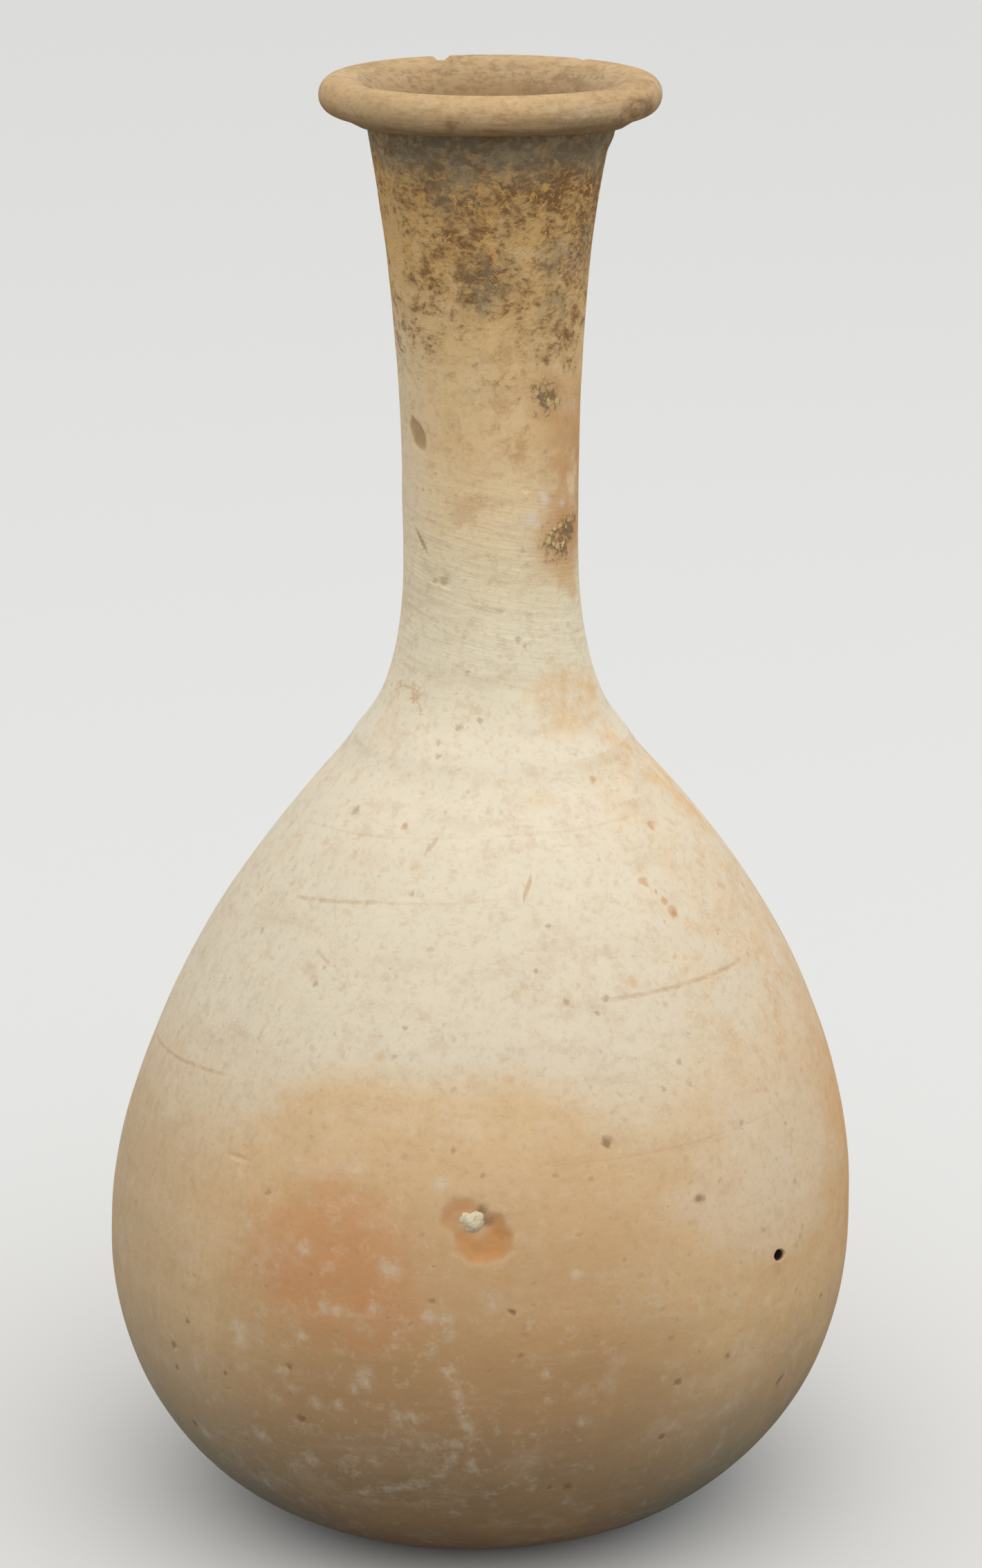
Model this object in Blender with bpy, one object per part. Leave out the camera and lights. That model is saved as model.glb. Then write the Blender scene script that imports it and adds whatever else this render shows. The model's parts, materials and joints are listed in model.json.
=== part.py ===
"""Ceramic unguentarium: a small oil bottle with a pear-shaped body, a tall flaring neck and a rolled lip.

The thrown sections are luted one on top of the other. Lengths are in metres, +Z is up, and the origin
is on the ground under the middle of the belly.
"""

import math

import bmesh
import bpy
import numpy as np
from mathutils import Matrix, Vector

# Outside of the bottle, from the foot up. Each rise starts at the level that the last one reached.
FOOT_R = 0.0170
BELLY_R = 0.0467
LOWER_RISE = 0.0350
COLLAR_R = 0.0162
SHOULDER_RISE = 0.0646
WAIST_R = 0.0107
WAIST_RISE = 0.0290
NECK_TOP_R = 0.0145
FLARE_RISE = 0.0454
UNDERSIDE_RISE = 0.0016
LIP_R = 0.0204
LIP_ROLL_R = 0.0022

# How late each stretch bends: the shoulder is a parabola, the neck bends near its two ends.
SHOULDER_POWER = 2.0
COLLAR_POWER = 3.6
FLARE_POWER = 2.2

# Thickness of the clay.
FLOOR_WALL = 0.0060
BODY_WALL = 0.0040
NECK_WALL = 0.0036

# Seams: a bevelled joint rises by its lap from the outside of the wall to the inside.
BASE_DISC_EDGE = 0.0070
SEAM_LAP = 0.0040
LIP_LAP = 0.0020
SEAM_GAP = 0.0003

# The thrown pot isn't true: how far its centre line wanders along X at each level.
FOOT_LEAN = -0.0008
SHOULDER_LEAN = 0.0016
COLLAR_LEAN = 0.0016
NECK_LEAN = 0.0012
LIP_LEAN = 0.0016
LEAN_BLUR = 0.0120

# The lime grain that burst the surface, and the spall around it. The bearing is from the front.
GRAIN_BEARING = math.radians(-1.5)
GRAIN_RISE = 0.0170
GRAIN_WIDTH = 0.0028
GRAIN_HEIGHT = 0.0024
GRAIN_DEPTH = 0.0024
GRAIN_SINK = 0.0003
SPALL_WIDTH = 0.0072
SPALL_HEIGHT = 0.0066
SPALL_DEPTH = 0.0009

# Fineness of the mesh: faces around, and along each stretch of the outline.
SEGMENTS = 48
LOWER_STEPS = 7
SHOULDER_STEPS = 9
NECK_STEPS = 11
ROLL_STEPS = 8
FUNNEL_STEPS = 5
GRAIN_STEPS = 2
FINE_POINTS = 400

BELLY_Z = LOWER_RISE
COLLAR_Z = BELLY_Z + SHOULDER_RISE
WAIST_Z = COLLAR_Z + WAIST_RISE
NECK_TOP_Z = WAIST_Z + FLARE_RISE
CREST_Z = NECK_TOP_Z + UNDERSIDE_RISE + 2 * LIP_ROLL_R


def outside_curve():
    """Radius and height along the outside, from the edge of the foot to the top of the neck."""
    share = np.linspace(0, 1, FINE_POINTS, endpoint=False)
    quarter = share * math.pi / 2
    lower_r = FOOT_R + (BELLY_R - FOOT_R) * np.sin(quarter)
    lower_z = BELLY_Z * (1 - np.cos(quarter))
    shoulder_r = BELLY_R - (BELLY_R - COLLAR_R) * share**SHOULDER_POWER
    shoulder_z = BELLY_Z + SHOULDER_RISE * share
    collar_r = WAIST_R + (COLLAR_R - WAIST_R) * (1 - share) ** COLLAR_POWER
    collar_z = COLLAR_Z + WAIST_RISE * share
    to_end = np.linspace(0, 1, FINE_POINTS)
    flare_r = WAIST_R + (NECK_TOP_R - WAIST_R) * to_end**FLARE_POWER
    flare_z = WAIST_Z + FLARE_RISE * to_end
    radius = np.concatenate([lower_r, shoulder_r, collar_r, flare_r])
    height = np.concatenate([lower_z, shoulder_z, collar_z, flare_z])
    return np.stack([radius, height], axis=1)


OUTSIDE = outside_curve()
ALONG = np.concatenate([[0], np.cumsum(np.linalg.norm(np.diff(OUTSIDE, axis=0), axis=1))])


def inside_curve():
    """The outside moved inwards, square to itself, by the thickness of the clay at that height."""
    tangent = np.gradient(OUTSIDE, ALONG, axis=0)
    tangent /= np.linalg.norm(tangent, axis=1, keepdims=True)
    inwards = np.stack([-tangent[:, 1], tangent[:, 0]], axis=1)
    levels = [0, BELLY_Z, (BELLY_Z + COLLAR_Z) / 2, WAIST_Z]
    wall = np.interp(OUTSIDE[:, 1], levels, [FLOOR_WALL, BODY_WALL, BODY_WALL, NECK_WALL])
    return OUTSIDE + inwards * wall[:, None]


INSIDE = inside_curve()


def along_at(level):
    """Distance along the outside at which it reaches a height."""
    return float(np.interp(level, OUTSIDE[:, 1], ALONG))


def run(curve, start, end, steps):
    """Points of a curve between two distances along the outside."""
    distance = np.linspace(start, end, steps + 1)
    radius = np.interp(distance, ALONG, curve[:, 0])
    height = np.interp(distance, ALONG, curve[:, 1])
    return [(float(r), float(z)) for r, z in zip(radius, height)]


def seam_step(distance):
    """How far a bevelled seam's two faces are apart along the wall, to leave the gap between them."""
    outer = np.array(run(OUTSIDE, distance, distance, 0)[0])
    inner = np.array(run(INSIDE, distance, distance, 0)[0])
    wall = float(np.linalg.norm(inner - outer))
    return SEAM_GAP * math.hypot(wall, SEAM_LAP) / wall


def lean(height):
    """How far the centre line is from the origin at a height, with its corners blurred."""
    levels = [0, BELLY_Z, (BELLY_Z + COLLAR_Z) / 2, COLLAR_Z, NECK_TOP_Z, CREST_Z]
    offsets = [FOOT_LEAN, 0, SHOULDER_LEAN, COLLAR_LEAN, NECK_LEAN, LIP_LEAN]
    window = height + np.linspace(-LEAN_BLUR, LEAN_BLUR, 9)
    return float(np.interp(window, levels, offsets).mean())


def clay(name, colour, roughness):
    """A fired clay finish for one piece."""
    material = bpy.data.materials.new(name)
    material.use_nodes = True
    shader = material.node_tree.nodes["Principled BSDF"]
    shader.inputs["Base Color"].default_value = (*colour, 1)
    shader.inputs["Roughness"].default_value = roughness
    shader.inputs["Metallic"].default_value = 0
    return material


def add_piece(name, body, material):
    """A named object of the bottle, from a finished bmesh."""
    mesh = bpy.data.meshes.new(name)
    body.to_mesh(mesh)
    body.free()
    mesh.shade_smooth()
    mesh.set_sharp_from_angle(angle=math.radians(40))
    piece = bpy.data.objects.new(name, mesh)
    bpy.context.scene.collection.objects.link(piece)
    if material:
        mesh.materials.append(material)
        piece.parent = bottle
    return piece


def turned(name, section, material, is_ring=True):
    """A piece thrown on the wheel: its section spun once round, then set on the wandering centre line."""
    body = bmesh.new()
    points = [body.verts.new((r, 0, z)) for r, z in section]
    edges = [body.edges.new(pair) for pair in zip(points, points[1:])]
    if is_ring:
        edges.append(body.edges.new((points[-1], points[0])))
    bmesh.ops.spin(
        body,
        geom=points + edges,
        axis=(0, 0, 1),
        cent=(0, 0, 0),
        angle=2 * math.pi,
        steps=SEGMENTS,
        use_merge=True,
    )
    bmesh.ops.remove_doubles(body, verts=body.verts, dist=1e-6)
    bmesh.ops.recalc_face_normals(body, faces=body.faces)
    for vertex in body.verts:
        vertex.co.x += lean(vertex.co.z)
    return add_piece(name, body, material)


def base_disc():
    """The disc that closes the bowl from the inside, with the flat that the bottle stands on."""
    section = [(0, 0), (FOOT_R / 2, 0)]
    section += run(OUTSIDE, 0, BASE_SEAM, 3)
    section += reversed(run(INSIDE, 0, BASE_SEAM + SEAM_LAP, 4))
    section += [(FOOT_R / 2, FLOOR_WALL), (0, FLOOR_WALL)]
    return turned("base_disc", section, clay("base_clay", (0.30, 0.19, 0.10), 0.85), is_ring=False)


def lower_body():
    """The thrown bowl, from the bevelled hole for the base disc to the widest level."""
    start = BASE_SEAM + seam_step(BASE_SEAM)
    section = run(OUTSIDE, start, BELLY_SEAM, LOWER_STEPS)
    section += reversed(run(INSIDE, start + SEAM_LAP, BELLY_SEAM + SEAM_LAP, LOWER_STEPS))
    return turned("lower_body", section, clay("lower_clay", (0.46, 0.30, 0.17), 0.85))


def upper_body():
    """The shoulder dome, luted over the bowl's rim, with the spall that the lime grain burst."""
    start = BELLY_SEAM + seam_step(BELLY_SEAM)
    section = run(OUTSIDE, start, COLLAR_SEAM, SHOULDER_STEPS)
    section += reversed(run(INSIDE, start + SEAM_LAP, COLLAR_SEAM + SEAM_LAP, SHOULDER_STEPS))
    dome = turned("upper_body", section, clay("upper_clay", (0.72, 0.61, 0.45), 0.80))
    spall_size = (SPALL_WIDTH, SPALL_HEIGHT, 2 * SPALL_DEPTH)
    socket_size = [side + 2 * SEAM_GAP for side in (GRAIN_WIDTH, GRAIN_HEIGHT, GRAIN_DEPTH)]
    for name, size, depth in (("spall", spall_size, 0), ("grain_socket", socket_size, GRAIN_CENTRE_DEPTH)):
        cutter = lump(name, size, depth, None)
        cutter.hide_render = True
        cutter.display_type = "WIRE"
        cut = dome.modifiers.new(name, "BOOLEAN")
        cut.operation = "DIFFERENCE"
        cut.solver = "EXACT"
        cut.object = cutter
    return dome


def neck():
    """The thrown tube of the neck, from the kink at the collar to the underside of the lip."""
    start = COLLAR_SEAM + seam_step(COLLAR_SEAM)
    section = run(OUTSIDE, start, NECK_END, NECK_STEPS)
    section += reversed(run(INSIDE, start + SEAM_LAP, NECK_END - LIP_LAP, NECK_STEPS))
    return turned("neck", section, clay("neck_clay", (0.55, 0.40, 0.24), 0.80))


def rim():
    """The rolled lip: its underside, the roll, and the funnel down to the bevelled top of the neck."""
    seat_outer = Vector(run(OUTSIDE, NECK_END, NECK_END, 0)[0])
    seat_inner = Vector(run(INSIDE, NECK_END - LIP_LAP, NECK_END - LIP_LAP, 0)[0])
    along_seat = (seat_outer - seat_inner).normalized()
    clear = Vector((-along_seat.y, along_seat.x)) * SEAM_GAP
    roll_centre = Vector((LIP_R - LIP_ROLL_R, CREST_Z - LIP_ROLL_R))
    section = [tuple(seat_outer + clear)]
    for angle in np.linspace(-math.pi / 2, math.pi / 2, ROLL_STEPS + 1):
        section.append(tuple(roll_centre + LIP_ROLL_R * Vector((math.cos(angle), math.sin(angle)))))
    crest = Vector((roll_centre.x, CREST_Z))
    throat = seat_inner + clear
    bend = Vector((throat.x + LIP_ROLL_R / 2, CREST_Z - LIP_ROLL_R / 2))
    for share in np.linspace(0, 1, FUNNEL_STEPS + 1)[1:]:
        falling = crest.lerp(bend, share)
        section.append(tuple(falling.lerp(bend.lerp(throat, share), share)))
    return turned("rim", section, clay("rim_clay", (0.47, 0.33, 0.19), 0.75))


def lump(name, size, depth, material):
    """A rounded lump at the spall, its centre at a depth under the outside of the shoulder."""
    distance = along_at(BELLY_Z + GRAIN_RISE)
    (r, z), (r_next, z_next) = run(OUTSIDE, distance, distance + SEAM_LAP, 1)
    slope = math.atan2(r - r_next, z_next - z)
    outwards = Vector((math.sin(GRAIN_BEARING), -math.cos(GRAIN_BEARING), 0)) * math.cos(slope)
    outwards.z = math.sin(slope)
    sideways = Vector((math.cos(GRAIN_BEARING), math.sin(GRAIN_BEARING), 0))
    upwards = outwards.cross(sideways)
    surface = Vector((math.sin(GRAIN_BEARING) * r + lean(z), -math.cos(GRAIN_BEARING) * r, z))
    turn = Matrix((sideways, upwards, outwards)).transposed().to_4x4()
    place = Matrix.Translation(surface - outwards * depth) @ turn
    body = bmesh.new()
    bmesh.ops.create_icosphere(
        body,
        subdivisions=GRAIN_STEPS,
        radius=0.5,
        matrix=place @ Matrix.Diagonal((*size, 1)),
    )
    bmesh.ops.recalc_face_normals(body, faces=body.faces)
    return add_piece(name, body, material)


def lime_grain():
    """The grain of white lime, held in its socket in the floor of the spall."""
    size = (GRAIN_WIDTH, GRAIN_HEIGHT, GRAIN_DEPTH)
    return lump("lime_grain", size, GRAIN_CENTRE_DEPTH, clay("lime", (0.80, 0.74, 0.62), 0.90))


BASE_SEAM = along_at(BELLY_Z * (1 - math.cos(math.asin(BASE_DISC_EDGE / (BELLY_R - FOOT_R)))))
BELLY_SEAM = along_at(BELLY_Z)
COLLAR_SEAM = along_at(COLLAR_Z)
NECK_END = float(ALONG[-1])
GRAIN_CENTRE_DEPTH = SPALL_DEPTH + GRAIN_SINK

for old in list(bpy.data.objects):
    bpy.data.objects.remove(old)

bottle = bpy.data.objects.new("unguentarium", None)
bpy.context.scene.collection.objects.link(bottle)
base_disc()
lower_body()
upper_body()
neck()
rim()
lime_grain()
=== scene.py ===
"""Looks of a ceramic unguentarium: a thrown oil bottle, cream above, tan below, with a stained neck.

Lengths are in metres, small marks in millimetres, bearings in degrees from the front, positive to the
right, and colours in sRGB.
"""

import json
import math

import bpy
import numpy as np
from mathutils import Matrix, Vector, noise

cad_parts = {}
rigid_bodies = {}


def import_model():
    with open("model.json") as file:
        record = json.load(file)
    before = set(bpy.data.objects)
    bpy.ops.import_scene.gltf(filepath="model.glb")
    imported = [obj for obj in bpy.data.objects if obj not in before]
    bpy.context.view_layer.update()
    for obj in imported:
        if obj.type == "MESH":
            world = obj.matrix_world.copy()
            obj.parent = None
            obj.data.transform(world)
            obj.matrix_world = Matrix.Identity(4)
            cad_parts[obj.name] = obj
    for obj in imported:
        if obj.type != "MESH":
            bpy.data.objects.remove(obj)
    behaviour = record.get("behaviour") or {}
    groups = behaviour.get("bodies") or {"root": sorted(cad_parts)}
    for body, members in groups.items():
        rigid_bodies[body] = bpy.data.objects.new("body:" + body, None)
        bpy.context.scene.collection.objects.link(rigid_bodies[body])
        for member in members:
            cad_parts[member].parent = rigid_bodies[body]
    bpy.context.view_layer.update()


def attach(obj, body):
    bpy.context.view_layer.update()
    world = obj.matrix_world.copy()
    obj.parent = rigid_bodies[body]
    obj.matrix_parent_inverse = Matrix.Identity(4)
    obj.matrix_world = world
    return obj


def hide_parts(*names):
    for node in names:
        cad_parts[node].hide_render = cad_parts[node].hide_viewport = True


for leftover in list(bpy.data.objects):
    bpy.data.objects.remove(leftover)
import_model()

# Base disc: the round of tan clay that closes the bowl from the inside and carries the flat foot.
# The outline of the whole bottle starts at its edge: a quarter ellipse up to the belly, a parabola over
# the shoulder, then the two bends of the neck. Wall thickness and seams are those of the solids.
FOOT_R = 0.0170
BELLY_R = 0.0467
BELLY_Z = 0.0350
COLLAR_R = 0.0162
COLLAR_Z = 0.0996
WAIST_R = 0.0107
WAIST_Z = 0.1286
NECK_TOP_R = 0.0145
NECK_TOP_Z = 0.1740
CREST_Z = 0.1800
SHOULDER_POWER = 2.0
COLLAR_POWER = 3.6
FLARE_POWER = 2.2
FLOOR_WALL = 0.0060
BODY_WALL = 0.0040
NECK_WALL = 0.0036
SEAM_LAP = 0.0040
BASE_SEAM_R = 0.0240
LEAN_LEVELS = (0, BELLY_Z, (BELLY_Z + COLLAR_Z) / 2, COLLAR_Z, NECK_TOP_Z, CREST_Z)
LEANS = (-0.0008, 0, 0.0016, 0.0016, 0.0012, 0.0016)
LEAN_BLUR = 0.012
COLLAR_SMEAR = 0.007
HAND_SWELLS = ((55, 0.00022), (190, 0.00005))
SWELL_MIN_R = 0.004
MIDDLE_X = 0.0012
# The base disc's dark grey tones are painted shade under the bottle.
BASE_TONES = [(0, (115, 116, 107)), (0.002, (120, 119, 108))]


def outline(height):
    """Radius of the outline at a height, up to the underside of the lip."""
    low = np.clip(1 - height / BELLY_Z, 0, 1)
    bowl = FOOT_R + (BELLY_R - FOOT_R) * np.sqrt(1 - low**2)
    up = np.clip((height - BELLY_Z) / (COLLAR_Z - BELLY_Z), 0, 1)
    shoulder = BELLY_R - (BELLY_R - COLLAR_R) * up**SHOULDER_POWER
    down = np.clip((WAIST_Z - height) / (WAIST_Z - COLLAR_Z), 0, 1)
    collar = WAIST_R + (COLLAR_R - WAIST_R) * down**COLLAR_POWER
    out = np.clip((height - WAIST_Z) / (NECK_TOP_Z - WAIST_Z), 0, 1)
    flare = WAIST_R + (NECK_TOP_R - WAIST_R) * out**FLARE_POWER
    levels = [height < BELLY_Z, height < COLLAR_Z, height < WAIST_Z]
    return np.select(levels, [bowl, shoulder, collar], flare)


def wall_radius(height):
    """Outer radius of the bottle: the outline, with the luting at the collar smoothed over."""
    height = np.asarray(height, float)
    smear = np.clip(COLLAR_SMEAR - np.abs(height - COLLAR_Z), 0, None)
    return np.mean([outline(height + smear * share) for share in np.linspace(-0.9, 0.9, 9)], axis=0)


def lean(height):
    """How far the thrown centre line wanders along X at each height."""
    window = np.asarray(height, float)[..., None] + np.linspace(-LEAN_BLUR, LEAN_BLUR, 9)
    return np.interp(window, LEAN_LEVELS, LEANS).mean(axis=-1)


BOWL_LEVELS = BELLY_Z * np.linspace(0, 1, 500) ** 2
LEVELS = np.concatenate([BOWL_LEVELS, np.linspace(BELLY_Z, NECK_TOP_Z, 3000)[1:]])
OUTSIDE = np.stack([wall_radius(LEVELS), LEVELS], axis=1)
ALONG = np.concatenate([[0], np.cumsum(np.linalg.norm(np.diff(OUTSIDE, axis=0), axis=1))])
CLIMB = np.gradient(OUTSIDE, ALONG, axis=0)
CLIMB /= np.linalg.norm(CLIMB, axis=1, keepdims=True)
WALL_LEVELS = (0, BELLY_Z, (BELLY_Z + COLLAR_Z) / 2, WAIST_Z)
WALL = np.interp(LEVELS, WALL_LEVELS, (FLOOR_WALL, BODY_WALL, BODY_WALL, NECK_WALL))
INSIDE = OUTSIDE + np.stack([-CLIMB[:, 1], CLIMB[:, 0]], axis=1) * WALL[:, None]


def along_at(height):
    """Distance along the outline at which it reaches a height."""
    return float(np.interp(height, LEVELS, ALONG))


def run(curve, start, end, spacing):
    """Evenly spaced points of the outside, or of the inside, between two distances along it."""
    distance = np.linspace(start, end, max(2, round(abs(end - start) / spacing) + 1))
    radius = np.interp(distance, ALONG, curve[:, 0])
    height = np.interp(distance, ALONG, curve[:, 1])
    return list(zip(radius.tolist(), height.tolist()))


def points_of(piece):
    """The vertices of a piece as an array."""
    flat = np.empty(len(piece.data.vertices) * 3)
    piece.data.vertices.foreach_get("co", flat)
    return flat.reshape(-1, 3)


def move_to(piece, points):
    piece.data.vertices.foreach_set("co", points.ravel())
    piece.data.update()


def lumps(points, scale):
    """Smooth noise at each point, about -1 to 1, with scale lumps to the metre."""
    return np.array([noise.noise(Vector(point) * scale) for point in points])


def settle(piece):
    """Moves a true turned shape on to the wandering centre line, with the swells that hands leave."""
    points = points_of(piece)
    swell = sum(lumps(points, scale) * height for scale, height in HAND_SWELLS)
    radius = np.maximum(np.hypot(points[:, 0], points[:, 1]), SWELL_MIN_R)
    points[:, :2] *= (1 + swell / radius)[:, None]
    points[:, 0] += lean(points[:, 2])
    move_to(piece, points)


def throw(name, section, around):
    """Extrudes a section point by point, turns it once round the wheel, and lets the clay settle."""
    bpy.ops.object.select_all(action="DESELECT")
    bpy.ops.mesh.primitive_plane_add(size=0.001)
    piece = bpy.context.object
    piece.name = name
    piece.data.name = name
    bpy.ops.object.mode_set(mode="EDIT")
    bpy.ops.mesh.merge(type="CENTER")
    bpy.ops.transform.translate(value=(section[0][0], 0, section[0][1]))
    for (r, z), (next_r, next_z) in zip(section, section[1:]):
        bpy.ops.mesh.extrude_region_move(TRANSFORM_OT_translate={"value": (next_r - r, 0, next_z - z)})
    bpy.ops.mesh.select_all(action="SELECT")
    bpy.ops.mesh.remove_doubles(threshold=1e-7)
    bpy.ops.object.mode_set(mode="OBJECT")
    wheel = piece.modifiers.new("wheel", "SCREW")
    wheel.axis = "Z"
    wheel.steps = around
    wheel.render_steps = around
    wheel.use_merge_vertices = True
    wheel.merge_threshold = 1e-6
    bpy.ops.object.modifier_apply(modifier="wheel")
    bpy.ops.object.mode_set(mode="EDIT")
    bpy.ops.mesh.select_all(action="SELECT")
    bpy.ops.mesh.normals_make_consistent(inside=False)
    bpy.ops.object.mode_set(mode="OBJECT")
    bpy.ops.object.shade_smooth_by_angle(angle=math.radians(30))
    settle(piece)
    return piece


def on_wall(bearing, height):
    """The point of the outside at a bearing and a height."""
    angle = math.radians(bearing)
    radius = float(wall_radius(height))
    return Vector((radius * math.sin(angle) + float(lean(height)), -radius * math.cos(angle), height))


def colour(red, green, blue):
    """A colour as it looks, 0 to 255, made linear for the shader."""
    shares = [value / 255 for value in (red, green, blue)]
    return tuple(s / 12.92 if s < 0.04045 else ((s + 0.055) / 1.055) ** 2.4 for s in shares) + (1,)


class Shade:
    """A socket of a material's node tree. Plain arithmetic on it adds the Math nodes."""

    def __init__(self, tree, socket=None):
        self.tree = tree
        self.socket = socket

    def node(self, kind, sockets=(), output=0, **settings):
        """Adds a node: its settings are set first, then the values or links of its sockets."""
        made = self.tree.nodes.new(kind)
        stops = settings.pop("stops", ())
        for name, value in settings.items():
            setattr(made, name, value)
        for index, (position, tone) in enumerate(stops):
            elements = made.color_ramp.elements
            element = elements[index] if index < 2 else elements.new(position)
            element.position = position
            element.color = tone
        for name, value in dict(sockets).items():
            if isinstance(value, Shade):
                self.tree.links.new(value.socket, made.inputs[name])
            else:
                made.inputs[name].default_value = value
        return Shade(self.tree, made.outputs[output])

    def maths(self, operation, *values):
        return self.node("ShaderNodeMath", enumerate(values), operation=operation)

    def vector(self, operation, *values, output=0):
        return self.node("ShaderNodeVectorMath", enumerate(values), output, operation=operation)

    def __add__(self, other):
        return self.maths("ADD", self, other)

    def __sub__(self, other):
        return self.maths("SUBTRACT", self, other)

    def __rsub__(self, other):
        return self.maths("SUBTRACT", other, self)

    def __mul__(self, other):
        return self.maths("MULTIPLY", self, other)

    def __truediv__(self, other):
        return self.maths("DIVIDE", self, other)

    __radd__ = __add__
    __rmul__ = __mul__

    def either(self, other):
        return self.maths("MAXIMUM", self, other)

    def size(self):
        return self.maths("ABSOLUTE", self)

    def rise(self, low, high):
        """0 below low, 1 above high, and smooth between."""
        return self.node("ShaderNodeMapRange", {0: self, 1: low, 2: high}, interpolation_type="SMOOTHSTEP")

    def fall(self, low, high):
        return 1 - self.rise(low, high)

    def tint(self, mask, tone, blend="MIX"):
        """This colour, changed towards a tone where the mask is 1."""
        return self.node("ShaderNodeMix", {0: mask, 6: self, 7: tone}, 2, data_type="RGBA", blend_type=blend)

    def cloud(self, scale, detail=4, roughness=0.55, stretch=None):
        """Soft noise over this position, 0 to 1, with scale lumps to the metre."""
        place = self.vector("MULTIPLY", self, stretch) if stretch else self
        sockets = {"Vector": place, "Scale": scale, "Detail": detail, "Roughness": roughness}
        return self.node("ShaderNodeTexNoise", sockets)

    def cells(self, scale, output="Distance"):
        """Scattered cells over this position, scale of them to the metre."""
        return self.node("ShaderNodeTexVoronoi", {"Vector": self, "Scale": scale}, output)

    def stirred(self, scale, detail, reach):
        """This position, pushed about by noise, up to half the reach along each axis."""
        tones = self.node("ShaderNodeTexNoise", {"Vector": self, "Scale": scale, "Detail": detail}, 1)
        shift = self.vector("SUBTRACT", tones, (0.5, 0.5, 0.5))
        return self.vector("ADD", self, self.vector("MULTIPLY", shift, reach))

    def scattered(self, scale, share):
        """Distance from the nearest cell's middle, and up to 1 in the given share of the cells."""
        pick = self.node("ShaderNodeSeparateColor", {0: self.cells(scale, "Color")})
        return self.cells(scale), pick.rise(1 - share, 1)


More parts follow.
